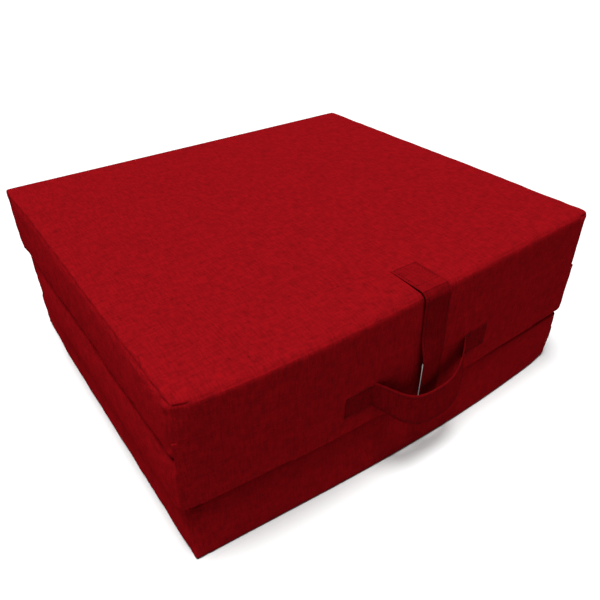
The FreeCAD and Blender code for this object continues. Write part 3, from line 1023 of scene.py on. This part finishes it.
class MATTRESS_OT_strap(MattressPiece, bpy.types.Operator):
    """Closing strap: sewn patch, the run over the edge, the hanging tail and its hook tape"""

    bl_idname = "mattress.strap"
    bl_label = "Closing strap"

    thickness = 0.0018
    trim = 0.009
    turn_radius = 0.0135
    clearance = 0.0013
    seam_inset = 0.004
    tape_thickness = 0.0006

    def stand(self, share):
        """How far the left edge stands out, for the share of the tail below a point: nothing near the top,
        then it rises, and falls away over the lowest part, which hangs behind the handle."""
        return self.sizes.strap_stand * smooth((0.74 - share) / 0.24) * smooth(share / 0.20)

    def line(self):
        """The strap's middle line: flat along the top, a quarter turn over the edge, and a tail that lies on
        the front and leaves it on the way down."""
        x = (STRAP_TAIL[0].x + STRAP_TAIL[1].x) / 2
        radius = self.turn_radius
        top = STACK_HEIGHT + self.thickness / 2 + 0.0002
        clear = self.clearance + self.thickness / 2
        front = float(front_of(x, top - radius)) - clear
        flat = np.linspace(STRAP_PATCH[1].y, front + radius, 46)[:-1]
        turn = np.linspace(0, np.pi / 2, 22)
        hang = np.linspace(top - radius, STRAP_TAIL[0].z + self.trim, 90)[1:]
        share = (hang - hang[-1]) / (hang[0] - hang[-1])
        on_face = smooth((hang - 0.185) / 0.060)
        fall = (front_of(x, hang) - clear) * on_face + (STRAP_TAIL[1].y - self.thickness / 2) * (1 - on_face)
        y = np.concatenate([flat, front + radius - radius * np.sin(turn), fall - self.stand(share) / 2])
        z = np.concatenate([np.full(len(flat), top), top - radius + radius * np.cos(turn), hang])
        return np.stack([np.full(len(y), x), y, z], axis=1)

    def execute(self, context):
        sizes = self.sizes
        width = STRAP_TAIL[1].x - STRAP_TAIL[0].x
        line = self.line()
        below = (line[:, 2] - line[-1, 2]) / (STACK_HEIGHT - self.turn_radius - line[-1, 2])
        turned = self.stand(np.clip(below, 0.0, 1.0)) / width
        side = np.stack([np.sqrt(1 - turned ** 2), turned, np.zeros(len(line))], axis=1)
        normal = unit(np.cross(unit(np.gradient(line, axis=0)), side))
        normal = normal * np.sign(normal[:, 2:3] - normal[:, 1:2])
        seat = STRAP_PATCH[0].y
        joint = 0.5 * (STRAP_PATCH[0].y + STRAP_TAIL[1].y)
        split = int(np.argmax(line[:, 1] < joint))
        rest, tail = slice(0, split + 1), slice(split, len(line))

        def rows(part, offsets):
            for offset in offsets:
                at = line[part] + side[part] * offset + normal[part] * self.thickness / 2
                yield (*stitches(at, normal[part], sizes), "thread")

        inset = width / 2 - self.seam_inset
        patch_part = slice(0, int(np.argmax(line[:, 1] < seat)))
        box = [*rows(patch_part, (-inset, inset))]
        for at in (line[1], line[patch_part.stop - 2]):
            across = at + side[0] * np.linspace(-inset, inset, 14)[:, None] + [0, 0, self.thickness / 2]
            box.append((*stitches(across, np.array([0.0, 0.0, 1.0]), sizes), "thread"))
        upper_part = (*ribbon(line[rest], side[rest], width, self.thickness), "patch_cloth")
        anchored = piece("strap_anchor", upper_part, *box)
        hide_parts("strap_sewn_patch", "strap_edge_run")
        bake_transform(anchored)

        # The hanging tail takes the darker copy of the cloth and the anchored part the lighter one. This is
        # painted shade where the strap hangs down the front.
        hanging = piece("strap_hanging", (*ribbon(line[tail], side[tail], width, self.thickness), "band_cloth"),
                        *rows(tail, (-inset, inset)))
        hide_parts("strap_tail")
        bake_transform(hanging)

        taped = line[line[:, 2] < HOOKS[1].z]
        low_part = slice(-len(taped), None)
        back = taped - normal[low_part] * (self.thickness / 2 + 0.0004) - side[low_part] * 0.0003
        hooks = piece("hook_tape", (*ribbon(back, side[low_part], width, self.tape_thickness), "hook_tape"))
        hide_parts("hook_fastener_strip")
        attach(hooks, "strap_tail")

        # The loop backing takes the darker copy of the cover cloth, which paints shade.
        for name, box_of, finish, slot, node in (
                ("loop_tape", PAD, "loop_tape", "loop_tape", "loop_fastener_pad"),
                ("loop_backing", BACKING, "band_cloth", "cover_cloth", "loop_backing_patch")):
            low, high = box_of
            up = np.linspace(low.z, high.z, 24)
            path = np.stack([np.full(24, (low.x + high.x) / 2), np.full(24, (low.y + high.y) / 2), up], axis=1)
            surfaces = [(*ribbon(path, np.array([1.0, 0.0, 0.0]), high.x - low.x, high.y - low.y), finish)]
            around = (high.x - low.x) / 2 - 0.003
            for offset in (-around, around):
                edge = path + [offset, (low.y - high.y) / 2, 0]
                surfaces.append((*stitches(edge, np.array([0.0, -1.0, 0.0]), sizes), "thread"))
            pad = piece(name, *surfaces)
            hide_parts(node)
            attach(pad, "lower_panel")
        return {"FINISHED"}


class MATTRESS_OT_zips(MattressPiece, bpy.types.Operator):
    """Zip of each cover: woven tape with its stitches, the coil's teeth, end stops, slider and pull"""

    bl_idname = "mattress.zips"
    bl_label = "Zips"

    tape_half_length = 0.299
    tape_sink = 0.0010
    tape_thickness = 0.0010
    seam_offset = 0.0105
    stations = 120
    tooth_radius = 0.0009
    tooth_depth = 0.0006
    tooth_slant = 0.0003
    tooth_share = 0.22

    def execute(self, context):
        for panel in PANELS:
            self.tape(panel)
            self.coil(panel)
            for part in ("zip_stops", "zip_slider", "zip_pull"):
                node = frame["nodes"][panel + "_" + part]
                node.data.materials.clear()
                node.data.materials.append(material("zip_metal"))
        return {"FINISHED"}

    def tape(self, panel):
        low, high = (np.array(corner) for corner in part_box(panel + "_zip_tape"))
        middle = (low[2] + high[2]) / 2
        y = np.linspace(-self.tape_half_length, self.tape_half_length, self.stations)
        level = np.full(self.stations, 1.0)
        path = np.stack([level * (HALF_WIDTH - self.tape_sink), y, level * middle], axis=1)
        up = np.array([0.0, 0.0, 1.0])
        surfaces = [(*ribbon(path, up, high[2] - low[2], self.tape_thickness, columns=19), "zip_tape")]
        for offset in (-self.seam_offset, self.seam_offset):
            line = path[2:-2] + [self.tape_thickness / 2, 0, offset]
            surfaces.append((*stitches(line, np.array([1.0, 0.0, 0.0]), self.sizes), "thread"))
        tape = piece(panel + "_tape", *surfaces)
        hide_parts(panel + "_zip_tape")
        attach(tape, panel + "_panel")
        panel + "_cover"

    def coil(self, panel):
        """Teeth of the closed coil: flattened rods across the tape, turned a little one way and the other,
        each standing past the middle on its own side."""
        low, high = (np.array(corner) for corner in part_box(panel + "_zip_coil"))
        count = int((high[1] - low[1]) / self.sizes.tooth_pitch)
        y = low[1] + (np.arange(count) + 0.5) * (high[1] - low[1]) / count
        own_side = np.where(np.arange(count) % 2, 1.0, -1.0)
        share = np.linspace(-1, 1, SPINDLE_RINGS)
        reach = (high[2] - low[2]) / 2
        across = own_side[:, None] * (reach * self.tooth_share + reach * (1 - self.tooth_share) * share[None])
        swell_of = self.tooth_radius * np.sqrt(1 - 0.75 * share ** 4)
        angle = spindle_angles()
        middle = (low[2] + high[2]) / 2
        slant = self.tooth_slant * share[None] * own_side[:, None]
        depth = np.full(slant.shape, low[0] + self.tooth_depth)
        centre = np.stack([depth, y[:, None] + slant, middle + across], axis=-1)
        ring = np.stack([np.sin(angle), 0.9 * np.cos(angle), np.zeros(SPINDLE_SIDES)], axis=-1)
        points = centre[:, :, None] + swell_of[None, :, None, None] * ring[None, None]
        coil = piece(panel + "_coil", (*spindles(points, kinds=2), "zip_coil"))
        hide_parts(panel + "_zip_coil")
        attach(coil, panel + "_panel")


class MATTRESS_PT_build(bpy.types.Panel):
    """Sizes, colours and the pieces in the order that they are made"""

    bl_label = "Folding mattress"
    bl_idname = "MATTRESS_PT_build"
    bl_space_type = "VIEW_3D"
    bl_region_type = "UI"
    bl_category = "Mattress"

    def draw(self, context):
        layout = self.layout
        for group in (context.scene.mattress_sizes, context.scene.mattress_colours):
            box = layout.box()
            for name in group.__annotations__:
                box.prop(group, name)
        for operator in OPERATORS:
            layout.operator(operator.bl_idname)


OPERATORS = (
    MATTRESS_OT_stage,
    MATTRESS_OT_foam_cores,
    MATTRESS_OT_covers,
    MATTRESS_OT_fold_cloths,
    MATTRESS_OT_handle,
    MATTRESS_OT_strap,
    MATTRESS_OT_zips,
)
CLASSES = (MattressSizes, MattressColours, *OPERATORS, MATTRESS_PT_build)


def register():
    for cls in CLASSES:
        bpy.utils.register_class(cls)
    bpy.types.Scene.mattress_sizes = bpy.props.PointerProperty(type=MattressSizes)
    bpy.types.Scene.mattress_colours = bpy.props.PointerProperty(type=MattressColours)


def unregister():
    del bpy.types.Scene.mattress_colours
    del bpy.types.Scene.mattress_sizes
    for cls in reversed(CLASSES):
        bpy.utils.unregister_class(cls)


def main():
    """Makes every piece in order."""
    register()
    for operator in OPERATORS:
        group, name = operator.bl_idname.split(".")
        getattr(getattr(bpy.ops, group), name)()


if __name__ == "__main__":
    main()
